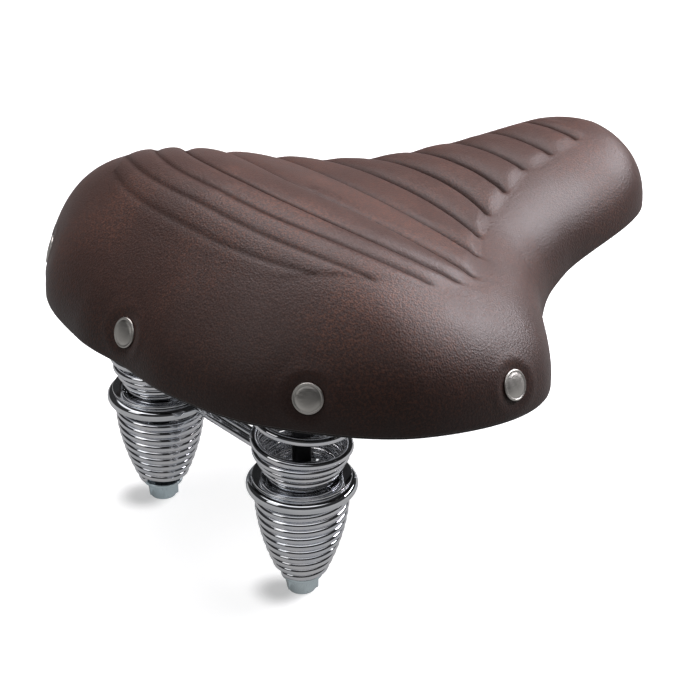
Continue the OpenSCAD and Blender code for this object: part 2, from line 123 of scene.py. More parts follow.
def height(curve, x):
    """Smooth height along a curve of (x, z) points, flat beyond its ends."""
    c = np.array(curve, float)
    q = np.clip(x, c[0, 0], c[-1, 0])
    i = np.clip(np.searchsorted(c[:, 0], q, side="right") - 1, 0, len(c) - 2)
    before, after = np.maximum(np.arange(len(c)) - 1, 0), np.minimum(np.arange(len(c)) + 1, len(c) - 1)
    slope = (c[after, 1] - c[before, 1]) / (c[after, 0] - c[before, 0])
    w = c[i + 1, 0] - c[i, 0]
    f = (q - c[i, 0]) / w
    return (
        c[i, 1] * (2 * f**3 - 3 * f**2 + 1) + slope[i] * w * (f**3 - 2 * f**2 + f)
        + c[i + 1, 1] * (3 * f**2 - 2 * f**3) + slope[i + 1] * w * (f**3 - f**2)
    )


def edge(t):
    """Points of the closed outline at t, in spans from the rear centre towards the right."""
    u = np.mod(np.asarray(t, float), SPANS)
    i = np.floor(u).astype(int)
    f = (u - i)[..., None]
    a, b, c, d = (OUTLINE[(i + k) % SPANS] for k in (-1, 0, 1, 2))
    return 0.5 * (2 * b + (c - a) * f + (2 * a - 5 * b + 4 * c - d) * f**2 + (3 * b - a - 3 * c + d) * f**3)


def inset_edge(t, inset):
    """Outline moved inwards."""
    along = edge(np.asarray(t) + 0.02) - edge(np.asarray(t) - 0.02)
    inward = np.stack([-along[..., 1], along[..., 0]], -1) / np.linalg.norm(along, axis=-1, keepdims=True)
    return edge(t) + inward * inset


def spine(t):
    """Point on the centre line that the dome's meridian at t starts from."""
    u = np.mod(np.asarray(t, float), SPANS)
    share = np.where(u <= SPANS / 2, u, SPANS - u) / (SPANS / 2)
    x = np.clip(edge(t)[..., 0], SPINE_REAR, SPINE_NOSE)
    x = 0.9 * x + 0.1 * (SPINE_REAR + (SPINE_NOSE - SPINE_REAR) * share)
    return np.stack([x, np.zeros_like(x)], -1)


def dome(t, turn, inset=0, drop=0, share=1, square=COVER_SQUARE):
    """Points of a dome; turn runs from 0 at the spine to pi/2 at the rim."""
    t, turn = np.broadcast_arrays(np.asarray(t, float), np.asarray(turn, float))
    s, r = spine(t), inset_edge(t, inset)
    p = s + (r - s) * (np.sin(turn) ** (2 / square[0]))[..., None]
    rim = height(RIM_CURVE, r[..., 0])
    top = rim + (height(CROWN_CURVE, p[..., 0]) - rim) * share - drop
    z = rim + (top - rim) * np.clip(np.cos(turn), 0, 1) ** (2 / square[1])
    return np.concatenate([p, z[..., None]], -1)


def skirt_frame(t, rise):
    """Point on the cover's skirt and its outward normal."""
    e = edge(t)
    rim, top = height(RIM_CURVE, e[0]), height(CROWN_CURVE, e[0])
    turn = math.acos((rise / (top - rim)) ** (COVER_SQUARE[1] / 2))
    p = dome(t, turn)
    n = np.cross(dome(t + 0.03, turn) - p, dome(t, turn - 0.035) - p)
    return p, n / np.linalg.norm(n)


def smooth_step(a, b, x):
    """0 up to a, 1 from b on, and smooth between them."""
    f = np.clip((x - a) / (b - a), 0, 1)
    return f * f * (3 - 2 * f)


def panel_relief(x, y):
    """Height of the ribs above the plain cover, and how deep in a groove each point lies (0 to 1), which is
    the mask for the shade painted into the grooves.
    """
    side = np.abs(y - PANEL_SHIFT * smooth_step(0, 60, x))
    lines = [c + bend * (side / half) ** power for c, bend, power, half, _ in GROOVES]
    lines = [lines[0] + TONGUE_L] + lines + [lines[-1] - TAIL_L]
    halves = [groove[3] for groove in GROOVES]
    halves = [halves[0] - 4] + halves + [halves[-1] - 18]
    half = np.where(x >= lines[0], halves[0], halves[-1]).astype(float)
    arch = np.zeros_like(half)
    for k in range(len(lines) - 1):
        gap = lines[k] - lines[k + 1]
        f = (lines[k] - x) / gap
        within = (f >= 0) & (f < 1)
        half = np.where(within, halves[k] + (halves[k + 1] - halves[k]) * f, half)
        arch = np.where(within, 4 * f * (1 - f) * np.minimum(1, gap / FULL_RIB), arch)
    front, tail = smooth_step(-1, 7, lines[0] - x), smooth_step(0, 9, x - lines[-1])
    fade = 0.5 + 0.5 * smooth_step(-120, -85, x)
    panel = smooth_step(-3, 6.5, half + 1.5 - side) * front * tail * fade
    relief = (RIB_RISE + RIB_ARCH * arch * (0.2 + 0.8 * smooth_step(-100, -50, x))) * panel
    groove_shade_mask = np.zeros_like(relief)
    cut_w = CUT_W + (CUT_W_MIDDLE - CUT_W) * np.exp(-((x - MIDDLE_X) / MIDDLE_L) ** 2)
    for (_, bend, power, reach, depth), line in zip(GROOVES, lines[1:-1]):
        slope = bend * power * side ** (power - 1) / reach**power
        across = (x - line) / np.sqrt(1 + slope**2)
        past = 1.2 * np.maximum(side - reach, 0)
        cut = np.exp(-(across**2 + past**2) / cut_w**2)
        soft_w = np.where(across > 0, AHEAD_W, BEHIND_W)
        soft = np.exp(-(across**2 + past**2) / soft_w**2) * smooth_step(-5, 8, reach - side)
        relief = relief - depth * (0.5 * cut + 0.5 * soft)
        groove_shade_mask = np.maximum(groove_shade_mask, cut * min(1, 0.3 + depth / 1.8))
    return relief, groove_shade_mask


# ---------- mesh helpers ----------


def new_piece(name, points, faces, smooth=True):
    """A mesh object from points in millimetres."""
    mesh = bpy.data.meshes.new(name)
    faces = [np.asarray(f) for f in faces if len(f)]
    loops = np.concatenate([f.ravel() for f in faces]).astype(np.int32)
    sizes = np.concatenate([np.full(len(f), f.shape[1]) for f in faces]).astype(np.int32)
    mesh.vertices.add(len(points))
    mesh.vertices.foreach_set("co", (np.asarray(points, float) * MM).astype(np.float32).ravel())
    mesh.loops.add(len(loops))
    mesh.loops.foreach_set("vertex_index", loops)
    mesh.polygons.add(len(sizes))
    mesh.polygons.foreach_set("loop_start", np.concatenate([[0], np.cumsum(sizes)[:-1]]).astype(np.int32))
    mesh.polygons.foreach_set("use_smooth", np.full(len(sizes), smooth))
    mesh.update(calc_edges=True)
    mesh.validate()
    piece = bpy.data.objects.new(name, mesh)
    bpy.context.collection.objects.link(piece)
    return piece


def grid_faces(rows, columns, closed_rows=False, closed_columns=True):
    """Quads of a grid of points numbered row by row."""
    r = np.arange(rows if closed_rows else rows - 1)
    c = np.arange(columns if closed_columns else columns - 1)
    r, c = (a.ravel() for a in np.meshgrid(r, c, indexing="ij"))
    r2, c2 = (r + 1) % rows, (c + 1) % columns
    return np.stack([r * columns + c, r2 * columns + c, r2 * columns + c2, r * columns + c2], -1)


def fix_normals(piece):
    """Merges points that coincide and turns all faces outwards."""
    bm = bmesh.new()
    bm.from_mesh(piece.data)
    bmesh.ops.remove_doubles(bm, verts=bm.verts, dist=1e-7)
    bmesh.ops.recalc_face_normals(bm, faces=bm.faces)
    bm.to_mesh(piece.data)
    bm.free()


def hand_over(piece, material, body, slot, *nodes):
    """Gives a finished piece its material and its body, and hides the CAD nodes it stands for; slot is not
    used.
    """
    piece.data.materials.clear()
    piece.data.materials.append(material)
    if body:
        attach(piece, body)
    if nodes:
        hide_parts(*nodes)
    return piece


def sweep(name, path, radius, sides=20, closed=False):
    """Round wire along a path, with rounded ends when it is open."""
    path = np.asarray(path, float)
    if closed:
        along = np.roll(path, -1, 0) - np.roll(path, 1, 0)
    else:
        along = np.gradient(path, axis=0)
    along /= np.linalg.norm(along, axis=1, keepdims=True)
    across = np.zeros_like(along)
    across[0] = np.cross(along[0], (0.13, 0.21, 0.97))
    across[0] /= np.linalg.norm(across[0])
    for k in range(1, len(path)):
        across[k] = across[k - 1] - along[k] * (across[k - 1] @ along[k])
        across[k] /= np.linalg.norm(across[k])
    up = np.cross(along, across)
    turn = np.linspace(0, 2 * np.pi, sides, endpoint=False)
    circle = np.cos(turn)[None, :, None] * across[:, None] + np.sin(turn)[None, :, None] * up[:, None]
    rings = path[:, None] + circle * float(radius)
    if closed:
        return new_piece(name, rings.reshape(-1, 3), [grid_faces(len(path), sides, closed_rows=True)])
    caps = []
    for end, way in ((0, -1), (-1, 1)):
        for a in (30, 60, 84):
            a = math.radians(a)
            centre = path[end] + way * along[end] * radius * 0.5 * math.sin(a)
            caps.append((end, centre + circle[end] * radius * math.cos(a)))
    start = [c for e, c in caps if e == 0][::-1]
    stop = [c for e, c in caps if e == -1]
    rings = np.concatenate([np.array(start), rings, np.array(stop)])
    n = len(rings)
    faces = [grid_faces(n, sides), np.arange(sides)[None], ((n - 1) * sides + np.arange(sides))[None, ::-1]]
    return new_piece(name, rings.reshape(-1, 3), faces)


def lathe(name, profile, centre, axis=(0, 0, 1), sides=64, closed=True):
    """Turned part from a profile of (radius, height) about an axis through centre."""
    profile = np.asarray(profile, float)
    turn = np.linspace(0, 2 * np.pi, sides, endpoint=False)
    r, h = profile[:, 0, None], profile[:, 1, None]
    local = np.stack([r * np.cos(turn), r * np.sin(turn), np.broadcast_to(h, (len(profile), sides))], -1)
    spin = np.array(Vector((0, 0, 1)).rotation_difference(Vector(axis)).to_matrix())
    points = local.reshape(-1, 3) @ spin.T + np.asarray(centre, float)
    piece = new_piece(name, points, [grid_faces(len(profile), sides, closed_rows=closed)])
    fix_normals(piece)
    return piece


def arc(centre, radius, a, b, steps):
    """Profile points on an arc from angle a to b, in degrees."""
    turn = np.radians(np.linspace(a, b, steps))
    return [(centre[0] + radius * math.cos(x), centre[1] + radius * math.sin(x)) for x in turn]


def rounded(points, radius, steps=4):
    """Closed profile with each corner rounded off."""
    out, n = [], len(points)
    for k in range(n):
        p, a, b = (np.array(points[(k + d) % n], float) for d in (0, -1, 1))
        la, lb = np.linalg.norm(a - p), np.linalg.norm(b - p)
        r = min(radius, la * 0.45, lb * 0.45)
        start, stop = p + (a - p) / la * r, p + (b - p) / lb * r
        for f in np.linspace(0, 1, steps):
            out.append(tuple((1 - f) ** 2 * start + 2 * f * (1 - f) * p + f**2 * stop))
    return out


def joined(name, parts):
    """One object from several mesh objects."""
    bm = bmesh.new()
    for part in parts:
        bm.from_mesh(part.data)
        bpy.data.objects.remove(part)
    mesh = bpy.data.meshes.new(name)
    bm.to_mesh(mesh)
    bm.free()
    piece = bpy.data.objects.new(name, mesh)
    bpy.context.collection.objects.link(piece)
    return piece


def at_spring(side, z=0):
    """Point on a spring's axis; side is 1 on the left and -1 on the right."""
    return np.array([SPRING_X, side * SPRING_Y, z], float)


# ---------- materials ----------


class Nodes:
    """Short names for building one material's node tree."""

    def __init__(self, name):
        self.material = bpy.data.materials.new(name)
        self.material.use_nodes = True
        self.tree = self.material.node_tree
        self.shader = self.tree.nodes["Principled BSDF"]
        self.place = self.add("ShaderNodeTexCoord").outputs["Object"]

    def add(self, kind, **inputs):
        node = self.tree.nodes.new(kind)
        for key, value in inputs.items():
            self.put(node, key.replace("_", " "), value)
        return node

    def put(self, node, key, value):
        socket = node.inputs[int(key[1:])] if key[0] == "i" and key[1:].isdigit() else node.inputs[key]
        if isinstance(value, bpy.types.NodeSocket):
            self.tree.links.new(value, socket)
        else:
            socket.default_value = value

    def surface(self, **inputs):
        for key, value in inputs.items():
            self.put(self.shader, key.replace("_", " "), value)

    def noise(self, scale, detail=2.0, roughness=0.5, stretch=None):
        place = self.place
        if stretch:
            place = self.add("ShaderNodeMapping", Vector=place, Scale=stretch).outputs[0]
        node = self.add("ShaderNodeTexNoise", Vector=place, Scale=scale, Detail=detail, Roughness=roughness)
        return node.outputs[0]

    def cells(self, scale, feature="F1", smooth=None):
        node = self.add("ShaderNodeTexVoronoi", Vector=self.place, Scale=scale)
        node.feature = feature
        if smooth is not None:
            node.inputs["Smoothness"].default_value = smooth
        return node.outputs["Distance"]

    def remap(self, value, low, high, to_low=0.0, to_high=1.0):
        node = self.add("ShaderNodeMapRange")
        node.interpolation_type = "SMOOTHSTEP"
        for k, v in enumerate((value, low, high, to_low, to_high)):
            self.put(node, f"i{k}", v)
        return node.outputs[0]

    def math(self, kind, a, b=0.0):
        node = self.add("ShaderNodeMath", i0=a, i1=b)
        node.operation = kind
        return node.outputs[0]

    def mix(self, factor, a, b):
        node = self.add("ShaderNodeMix")
        node.data_type = "RGBA"
        self.put(node, "i0", factor)
        self.put(node, "i6", a)
        self.put(node, "i7", b)
        return node.outputs[2]

    def bump(self, value, strength, distance, before=None):
        node = self.add("ShaderNodeBump", Height=value, Strength=strength, Distance=distance)
        if before:
            self.put(node, "Normal", before)
        return node.outputs[0]


def leather_material(name, dark, warm, grey, groove_shade_strength=0.85):
    """Pebbled leatherette, mottled in colour, with shade painted into its colour in the grooves and towards
    the bottom of the skirts.
    """
    m = Nodes(name)
    patches = m.remap(m.noise(19, 4, 0.6), 0.4, 0.66)
    speckle = m.remap(m.noise(900, 4, 0.75), 0.46, 0.62)
    fine = m.remap(m.noise(1500, 2, 0.6), 0.35, 0.7)
    worn = m.math("MULTIPLY", m.math("MULTIPLY", m.math("ADD", patches, 0.3), speckle), 0.7)
    base = m.mix(fine, dark, grey)
    base = m.mix(worn, base, warm)
    # Painted shade: the groove mask stored on the mesh darkens the colour in the grooves and lowers the gloss
    # there.
    groove = m.add("ShaderNodeAttribute")
    groove.attribute_name = "groove"
    groove_shade = m.math("MULTIPLY", groove.outputs["Fac"], groove_shade_strength)
    base = m.mix(groove_shade, base, tuple(0.25 * v for v in dark[:3]) + (1,))
    # Painted shade: the colour is darkened towards the bottom of the skirts, by height on the object.
    split = m.add("ShaderNodeSeparateXYZ", Vector=m.place)
    low = m.remap(split.outputs["Z"], 0.045, 0.1, 0.62, 0.0)
    base = m.mix(low, base, tuple(0.2 * v for v in dark[:3]) + (1,))
    pebbles = m.cells(1150, "SMOOTH_F1", 0.5)
    folds = m.noise(900, 5, 0.7)
    swells = m.noise(60, 3, 0.5)
    grain = m.bump(swells, 0.1, 0.002)
    grain = m.bump(folds, 0.3, 0.0003, grain)
    grain = m.bump(pebbles, 0.42, 0.0003, grain)
    dull = m.math("ADD", m.math("MULTIPLY", folds, 0.5), m.math("MULTIPLY", patches, 0.3))
    rough = m.remap(dull, 0.15, 0.7, 0.4, 0.52)
    shine = m.remap(groove_shade, 0.0, 0.7, 0.3, 0.04)
    m.surface(Base_Color=base, Roughness=rough, Normal=grain, Specular_IOR_Level=shine)
    m.surface(Sheen_Weight=0.03, Sheen_Roughness=0.4, Sheen_Tint=(0.8, 0.7, 0.7, 1))
    return m.material


def metal_material(name, colour, rough_low, rough_high, scale=60, bump=0.02, stretch=None, tint=None):
    """Metal with faint marks that vary its gloss, and patches of a second tint."""
    m = Nodes(name)
    marks = m.noise(scale, 4, 0.6, stretch)
    rough = m.remap(marks, 0.3, 0.7, rough_low, rough_high)
    shade = m.mix(m.remap(m.noise(scale * 0.3, 3), 0.35, 0.65), colour, tint or colour)
    m.surface(Base_Color=shade, Metallic=1.0, Roughness=rough, Normal=m.bump(marks, bump, 0.0002))
    return m.material


def solid_material(name, low, high, rough, scale, strength, distance=0.0003):
    """Plain material with a grain, mottled between two colours."""
    m = Nodes(name)
    grain = m.noise(scale, 5, 0.65)
    shade = m.mix(m.remap(m.noise(scale * 0.08, 3), 0.35, 0.65), low, high)
    m.surface(Base_Color=shade, Normal=m.bump(grain, strength, distance))
    m.surface(Roughness=m.remap(grain, 0.3, 0.7, rough - 0.06, rough + 0.06))
    return m.material


LEATHER = leather_material(
    "espresso_leatherette", (0.05, 0.026, 0.021, 1), (0.15, 0.064, 0.043, 1), (0.08, 0.049, 0.043, 1)
)
HEM = leather_material(
    "hem_leatherette", (0.02, 0.012, 0.011, 1), (0.05, 0.026, 0.02, 1), (0.03, 0.02, 0.018, 1), 0
)
CHROME = metal_material(
    "bright_chrome", (0.86, 0.87, 0.89, 1), 0.03, 0.07, 220, 0.004, None, (0.8, 0.82, 0.85, 1)
)
SPRING_CHROME = metal_material(
    "spring_chrome", (0.88, 0.88, 0.9, 1), 0.05, 0.08, 320, 0.003, None, (0.8, 0.82, 0.86, 1)
)
ZINC = metal_material("blue_zinc", (0.72, 0.86, 0.93, 1), 0.2, 0.26, 90, 0.01, None, (0.82, 0.92, 0.95, 1))
NICKEL = metal_material(
    "brushed_nickel", (0.62, 0.6, 0.56, 1), 0.28, 0.44, 240, 0.12, (1, 1, 9), (0.5, 0.48, 0.45, 1)
)
BLACK_STEEL = solid_material(
    "black_powder_coat", (0.012, 0.012, 0.013, 1), (0.02, 0.02, 0.022, 1), 0.42, 900, 0.15
)
PAN_PLASTIC = solid_material(
    "moulded_plastic", (0.016, 0.016, 0.017, 1), (0.026, 0.026, 0.027, 1), 0.55, 1400, 0.25
)
FOAM = solid_material("open_cell_foam", (0.4, 0.34, 0.22, 1), (0.55, 0.49, 0.35, 1), 0.9, 1600, 0.8, 0.0005)
# The spring bolts' near-black colour is painted shade: they stand in the shade inside the coils.
BOLT_SHADE_STEEL = metal_material("bolt_steel_dark_as_shade", (0.06, 0.06, 0.065, 1), 0.3, 0.45, 200, 0.05)

# ---------- seat shells ----------

# Points round a shell, and rows of points from its spine to its rim
COLUMNS, HIDDEN_COLUMNS = SPANS * 64, SPANS * 16
OUTER_ROWS, INNER_ROWS = 130, 16


def shell(name, outer, inner, outer_rows, inner_rows, rim_points, columns, relief=None):
    """Closed shell between two domes; rim_points(t) gives the rows that join them at the rim."""
    t = np.arange(columns) * SPANS / columns
    half = columns // 2
    turns = np.linspace(0, np.pi / 2, outer_rows + 1)[1:, None]
    back_turns = np.linspace(np.pi / 2, 0, inner_rows + 1)[:-1, None]
    skin = dome(t[None], turns, **outer)
    top = dome(t[: half + 1], 0, **outer)
    depth = np.zeros(skin.shape[:2])
    top_groove_shade = np.zeros(half + 1)
    if relief:
        dense = np.concatenate([dome(t, 0, **outer)[None], skin])
        along = np.roll(dense, -1, 1) - np.roll(dense, 1, 1)
        down = np.gradient(dense, axis=0)
        normal = np.cross(down, along)
        normal /= np.maximum(np.linalg.norm(normal, axis=-1, keepdims=True), 1e-9)
        normal *= np.sign(normal[5, 0, 2])
        normal[0] = (0, 0, 1)
        rise, groove_shade = relief(dense)
        dense = dense + normal * rise[..., None]
        skin, top, depth, top_groove_shade = dense[1:], dense[0][: half + 1], groove_shade[1:], groove_shade[0][: half + 1]
    rim = np.stack(rim_points(t))
    back = dome(t[None], back_turns, **inner)
    roof = dome(t[: half + 1], 0, **inner)
    rows = np.concatenate([skin, rim, back])
    n = len(rows) * columns
    points = np.concatenate([rows.reshape(-1, 3), top, roof])
    middle = np.minimum(np.arange(columns), columns - np.arange(columns))
    following = np.roll(np.arange(columns), -1)
    faces = [grid_faces(len(rows), columns)]
    for first_row, spine_start, flip in ((0, n, False), (len(rows) - 1, n + half + 1, True)):
        ring = first_row * columns + np.arange(columns)
        strip = np.stack([spine_start + middle, ring, ring[following], spine_start + middle[following]], -1)
        faces.append(strip[:, ::-1] if flip else strip)
    piece = new_piece(name, points, faces)
    # The groove mask is stored on the points; the leather material paints shade into the grooves from it.
    attribute = piece.data.attributes.new("groove", "FLOAT", "POINT")
    values = np.zeros(len(points), np.float32)
    values[: depth.size] = depth.ravel()
    values[n: n + half + 1] = top_groove_shade
    attribute.data.foreach_set("value", values)
    bm = bmesh.new()
    bm.from_mesh(piece.data)
    bmesh.ops.recalc_face_normals(bm, faces=bm.faces)
    bm.to_mesh(piece.data)
    bm.free()
    return piece


def leather_cover():
    """Ribbed and padded cover, with a dimple round each rivet."""
    rivets = [skirt_frame(t, RIVET_RISE)[0] for t in RIVET_TURNS]

    def relief(p):
        rise, groove = panel_relief(p[..., 0], p[..., 1])
        for rivet in rivets:
            away = np.linalg.norm(p - rivet, axis=-1)
            rise = rise - 1.2 * np.exp(-((away / 7.8) ** 4)) + 0.25 * np.exp(-(((away - 11) / 2.5) ** 2))
        return rise, groove

    def rim_points(t):
        rim = height(RIM_CURVE, edge(t)[:, 0])
        rows = []
        for a in np.radians((25, 50, 75, 90, 115, 140, 165)):
            inset = COVER_T / 2 * (1 - math.cos(a))
            drop = 0.9 * math.sin(a)
            rows.append(np.column_stack([inset_edge(t, inset), rim - drop]))
        return rows

    inner = dict(inset=COVER_T, drop=COVER_T)
    piece = shell("leather_cover", {}, inner, OUTER_ROWS, INNER_ROWS, rim_points, COLUMNS, relief)
    hand_over(piece, LEATHER, SEAT, "leatherette", "cover")


def plain_rim(inset_a, inset_b, bulge):
    """Rim rows from one inset to another, with a slight bulge downwards."""
    def rows(t):
        out = []
        for f in (0.25, 0.5, 0.75):
            p = inset_edge(t, inset_a + (inset_b - inset_a) * f)
            rim = height(RIM_CURVE, p[:, 0])
            out.append(np.column_stack([p, rim - bulge * math.sin(math.pi * f)]))
        return out
    return rows


def foam_cushion():
    """Pad between the cover and the pan."""
    inner_inset = PAN_INSET - LAYER_GAP
    outer = dict(inset=FOAM_INSET, drop=FOAM_INSET)
    inner = dict(inset=inner_inset, drop=-LAYER_GAP, share=PAN_SHARE, square=PAN_SQUARE)
    rim = plain_rim(FOAM_INSET, inner_inset, 0.4)
    piece = shell("foam_cushion", outer, inner, 40, 30, rim, HIDDEN_COLUMNS)
    hand_over(piece, FOAM, SEAT, "foam", "foam_pad")


def wall_strip(path, width, depth):
    """Thin rib that hangs below a path, as points and faces of one closed strip."""
    path = np.asarray(path, float)
    along = np.gradient(path, axis=0)
    side = np.cross(along, (0, 0, 1))
    side /= np.linalg.norm(side, axis=1, keepdims=True)
    taper = np.minimum(1, np.minimum(np.arange(len(path)), np.arange(len(path))[::-1]) / 3 + 0.15)[:, None]
    drop = np.array([0, 0, -1.0]) * depth * taper
    lift = np.array([0, 0, 1.0])
    w = side * width / 2
    corners = [path + w + lift, path - w + lift, path - w * 0.7 + drop, path + w * 0.7 + drop]
    rings = np.stack(corners, 1)
    n = len(path)
    return rings.reshape(-1, 3), [
        grid_faces(n, 4), np.arange(4)[None], ((n - 1) * 4 + np.arange(4))[None, ::-1]
    ]


def pan():
    """Base pan with moulded ribs below it and a boss for each screw."""
    outer = dict(inset=PAN_INSET, share=PAN_SHARE, square=PAN_SQUARE)
    inner = dict(inset=PAN_INSET + PAN_T, drop=PAN_T, share=PAN_SHARE, square=PAN_SQUARE)
    rim = plain_rim(PAN_INSET, PAN_INSET + PAN_T, 0.6)
    parts = [shell("pan_shell", outer, inner, 40, 40, rim, HIDDEN_COLUMNS)]
    turns = np.linspace(0.04, 1.25, 16)
    for t in (0.7, 1.4, 2.3, 3.4, 4.3, 5.2, 6.2):
        for side in (1, -1):
            line = dome(side * t, turns, **inner)
            parts.append(new_piece("pan_rib", *wall_strip(line, 2, 5), smooth=False))
    middle = dome(np.linspace(0.2, 7.8, 40), 0, **inner)
    parts.append(new_piece("pan_keel", *wall_strip(middle, 2.4, 5), smooth=False))
    for part in parts[1:]:
        fix_normals(part)
    for x, y, low, high in (
        [(SPRING_X + 2, s * y, PLATE_Z + PLATE_T, 80.3) for s in (1, -1) for y in (12, 64)]
        + [(PIVOT_X + dx, 0, 66.5, 74) for dx in (-10, 8)]
    ):
        profile = [(3.1, low), (6.4, low), (7, low + 0.6), (7, high - 2), (8.5, high), (3.1, high)]
        parts.append(lathe("pan_boss", profile, (x, y, 0), sides=40))
    hand_over(joined("pan_shell_ribbed", parts), PAN_PLASTIC, SEAT, "pan_plastic", "base_pan")


def hem_lip():
    """Turned-under edge of the cover: a rounded band just inside the rim."""
    t = np.arange(SPANS * 32) / 32
    rim = height(RIM_CURVE, edge(t)[:, 0])
    profile = rounded([(0.7, -0.4), (0.9, -1.9), (3.2, -2.2), (8.6, -1.6), (9.2, -0.5)], 0.9, 4)
    rows = [np.column_stack([inset_edge(t, inset), rim + z]) for inset, z in profile]
    piece = new_piece("hem_lip", np.concatenate(rows), [grid_faces(len(rows), len(t), closed_rows=True)])
    fix_normals(piece)
    hand_over(piece, HEM, SEAT, "hem", "cover_hem")


def rivets():
    """Domed heads with a rolled edge, and their shanks."""
    parts = []
    head = [(0.01, 1.3), (2, 1.27), (3.6, 1.15), (4.7, 0.93), (5.15, 0.72), (5.4, 0.74)]
    head += arc((RIVET_R - 0.5, 0.4), 0.5, 115, -80, 9) + [(RIVET_R - 0.6, -0.5), (2.6, -0.7), (2.5, -11.2)]
    head += [(0.01, -11.2)]
    for t in RIVET_TURNS:
        p, n = skirt_frame(t, RIVET_RISE)
        parts.append(lathe("rivet", head, p - n * 0.8, n, 64, closed=False))
    hand_over(joined("rivet_heads", parts), NICKEL, SEAT, "nickel", "cover_rivets")


# ---------- springs, rings and bolts ----------


def helix(side, turns, radius, z, steps=72):
    """Coil about a spring's axis; radius and z are functions of the share of its length, 0 to 1."""
    s = np.linspace(0, 1, int(turns * steps) + 1)
    a = side * 2 * np.pi * turns * s
    return np.column_stack([radius(s) * np.cos(a), radius(s) * np.sin(a), z(s)]) + at_spring(side)


def upper_spring(side, word):
    """Close coils that nest in the dish, then open coils up to the plate."""
    turns = NEST_TURNS + OPEN_TURNS
    nest_top = COIL_Z + NEST_RISE * NEST_TURNS
    free_rise = PLATE_Z - WIRE / 2 - 0.15 - nest_top
    full = OPEN_PITCH * OPEN_TURNS - OPEN_EASE * (1 - math.exp(-2 * OPEN_TURNS))

    def radius(s):
        return COIL_R - NEST_GROW * np.maximum(NEST_TURNS - s * turns, 0)

    def z(s):
        n = s * turns
        o = np.maximum(n - NEST_TURNS, 0)
        risen = free_rise * (OPEN_PITCH * o - OPEN_EASE * (1 - np.exp(-2 * o))) / full
        return COIL_Z + NEST_RISE * np.minimum(n, NEST_TURNS) + risen

    piece = sweep(f"coil_upper_{word}", helix(side, turns, radius, z), WIRE / 2)
    hand_over(piece, SPRING_CHROME, None, "spring_chrome", f"upper_spring_{word}")
    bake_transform(piece)


def lower_spring(side, word):
    """Close-wound cone that hangs from the loop down to the washer."""
    pitch = WIRE + 0.06

    def radius(s):
        return CONE_TOP_R - (CONE_TOP_R - CONE_BOTTOM_R) * s**1.8

    def z(s):
        return CONE_TOP_Z - pitch * CONE_TURNS * s

    piece = sweep(f"coil_lower_{word}", helix(side, CONE_TURNS, radius, z), WIRE / 2)
    hand_over(piece, SPRING_CHROME, None, "spring_chrome", f"lower_spring_{word}")
    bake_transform(piece)


def ring(side, word):
    """Round wire loop of the under-frame."""
    profile = arc((RING_R, 0), RING_WIRE / 2, 0, 350, 36)
    piece = lathe(f"ring_wire_{word}", profile, at_spring(side), sides=128)
    hand_over(piece, CHROME, FRAME, "frame_chrome", f"ring_{word}")


def dish(side, word):
    """Pressed spring seat that lies in the loop."""
    wall = RING_R - RING_WIRE / 2 - 0.3
    profile = rounded([
        (8.9, DISH_FLOOR), (15, DISH_FLOOR), (wall, DISH_Z), (RING_R + 0.6, DISH_Z),
        (RING_R + 0.6, DISH_Z + DISH_T), (wall - 0.6, DISH_Z + DISH_T),
        (14.6, DISH_FLOOR + DISH_T), (8.9, DISH_FLOOR + DISH_T),
    ], 0.55)
    piece = lathe(f"spring_dish_{word}", profile, at_spring(side), sides=128)
    hand_over(piece, CHROME, FRAME, "frame_chrome", f"spring_seat_{word}")


def hex_ring(half_flat, z, reach, sides=48):
    """Ring of points on a hexagon, cut off at reach from the axis."""
    a = np.linspace(0, 2 * np.pi, sides, endpoint=False)
    r = half_flat / np.cos(np.mod(a + np.pi / 6, np.pi / 3) - np.pi / 6)
    r = np.minimum(r, reach)
    return np.column_stack([r * np.cos(a), r * np.sin(a), np.full(sides, float(z))])


def hex_body(low, high, hole_r, collar=0.0):
    """Hexagon with chamfered corners from low to high, a hole, and a round collar above it."""
    flat = HEX_AF / 2
    corner = flat / math.cos(math.pi / 6)
    chamfer = 0.55
    rows = [
        hex_ring(flat * 0.97, low, flat * 0.97), hex_ring(flat, low + 0.1, flat * 1.02),
        hex_ring(flat, low + chamfer, corner), hex_ring(flat, high - chamfer, corner),
        hex_ring(flat, high - 0.1, flat * 1.02), hex_ring(flat * 0.95, high, flat * 0.95),
    ]
    circle = np.linspace(0, 2 * np.pi, 48, endpoint=False)

    def round_ring(r, z):
        return np.column_stack([r * np.cos(circle), r * np.sin(circle), np.full(48, float(z))])

    top = high
    if collar:
        top = high + collar
        r = flat - 0.4
        rows += [round_ring(r, high + 0.05), round_ring(r, top - 1.1)]
        rows += [round_ring(r - 0.35, top - 0.45), round_ring(r - 1.0, top - 0.08), round_ring(r - 1.6, top)]
    if hole_r:
        rows += [round_ring(hole_r + 0.4, top), round_ring(hole_r, top - 0.4)]
        rows += [round_ring(hole_r, low + 0.4), round_ring(hole_r + 0.4, low)]
        return np.concatenate(rows), [grid_faces(len(rows), 48, closed_rows=True)]
    rows += [round_ring(0.01, top)]
    rows = [round_ring(0.01, low)] + rows
    return np.concatenate(rows), [grid_faces(len(rows), 48)]


def place(piece, centre, axis):
    """Turns a mesh's own +Z to axis and moves it to centre, in millimetres."""
    spin = Vector((0, 0, 1)).rotation_difference(Vector(axis)).to_matrix().to_4x4()
    piece.data.transform(Matrix.Translation(Vector(centre) * MM) @ spin)
    fix_normals(piece)
    return piece


def crisp(piece, angle=35):
    """Smooth shading that keeps edges sharper than angle."""
    piece.data.set_sharp_from_angle(angle=math.radians(angle))
    return piece


def lock_nut(name, centre, axis):
    """Hexagon nut with a round collar at its outer end."""
    piece = new_piece(name, *hex_body(0, NUT_H - 1.8, BOLT_D / 2 + 0.1, 1.8))
    return crisp(place(piece, centre, axis))


